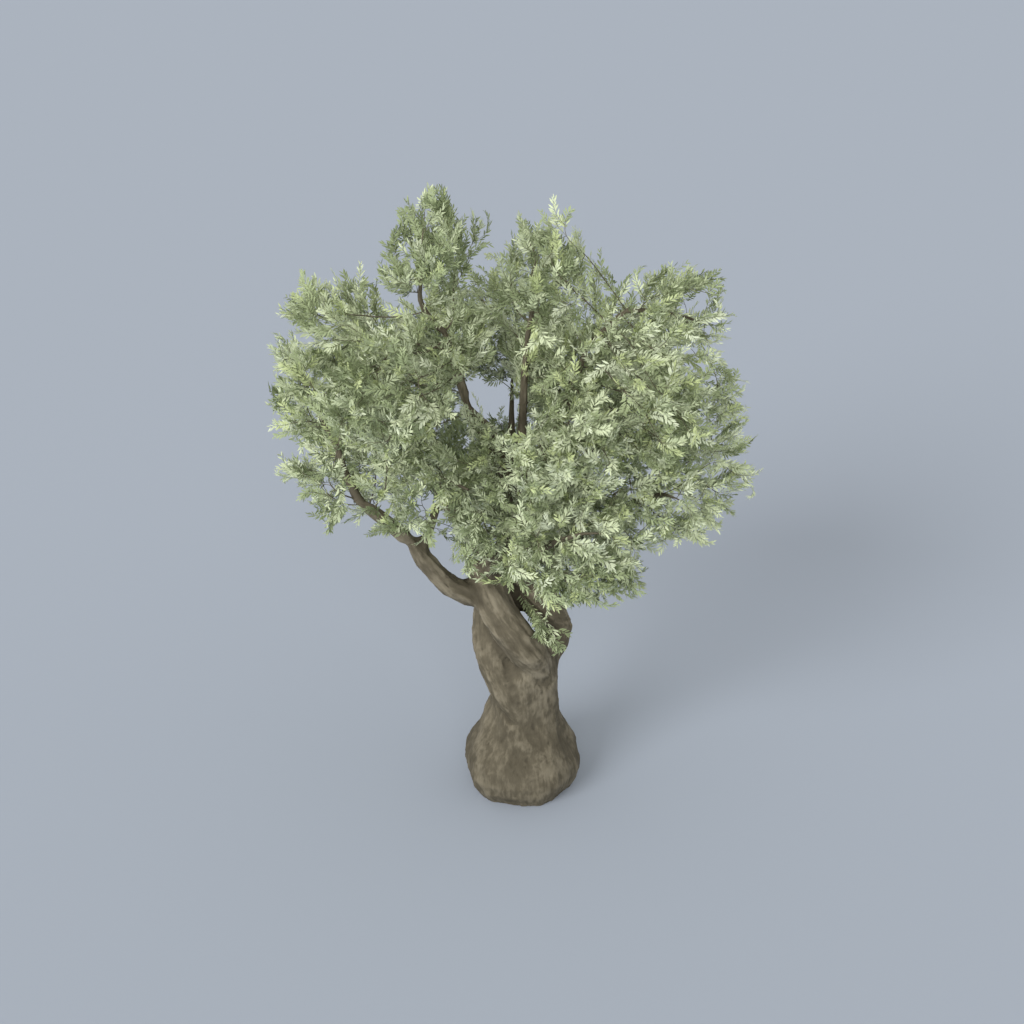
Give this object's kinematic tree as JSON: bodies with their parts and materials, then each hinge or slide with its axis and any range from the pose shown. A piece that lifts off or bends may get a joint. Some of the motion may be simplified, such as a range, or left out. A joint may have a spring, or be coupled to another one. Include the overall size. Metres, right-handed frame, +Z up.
{
  "type": "olive tree",
  "caption": "Old olive tree rooted in the ground: swollen foot, stems that twist round each other, bare lower boughs and a wide crown of separate foliage masses.",
  "frame": {"origin": "middle of the flat cut at ground level under the trunk", "axes": "+Z up; +X towards the side where a stem loops out; -Y towards the side where the front stem crosses the others"},
  "size_m": [3.744, 3.2265, 5.001],
  "materials": {
    "bark": "rough weathered bark with long creases that wind up the trunk",
    "foliage": "narrow grey-green leaves, paler below, set in opposite pairs on thin twigs"
  },
  "bodies": {
    "root": {"trunk": "bark", "stem_front": "bark", "stem_left": "bark", "stem_right_lower": "bark", "stem_right_upper": "bark", "bough_centre": "bark", "bough_left": "bark", "bough_left_outer": "bark", "bough_left_inner": "bark", "bough_front": "bark", "bough_back": "bark", "bough_back_left": "bark", "bough_right": "bark", "bough_right_back": "bark", "bough_upper_left": "bark", "bough_top_left": "bark", "bough_top_middle": "bark", "bough_top_right": "bark", "bough_far_right": "bark", "foliage_hanging": "foliage", "foliage_front_low": "foliage", "foliage_front_left": "foliage", "foliage_front_middle": "foliage", "foliage_left_top": "foliage", "foliage_left_outer": "foliage", "foliage_left_low": "foliage", "foliage_left_front": "foliage", "foliage_left_inner": "foliage", "foliage_top_left": "foliage", "foliage_top_middle": "foliage", "foliage_upper_left": "foliage", "foliage_upper_right": "foliage", "foliage_right_top": "foliage", "foliage_right_middle": "foliage", "foliage_right_outer": "foliage", "foliage_right_low": "foliage", "foliage_back_left": "foliage", "foliage_back_right": "foliage", "foliage_back_middle": "foliage", "foliage_back_low": "foliage"}
  },
  "joints": []
}
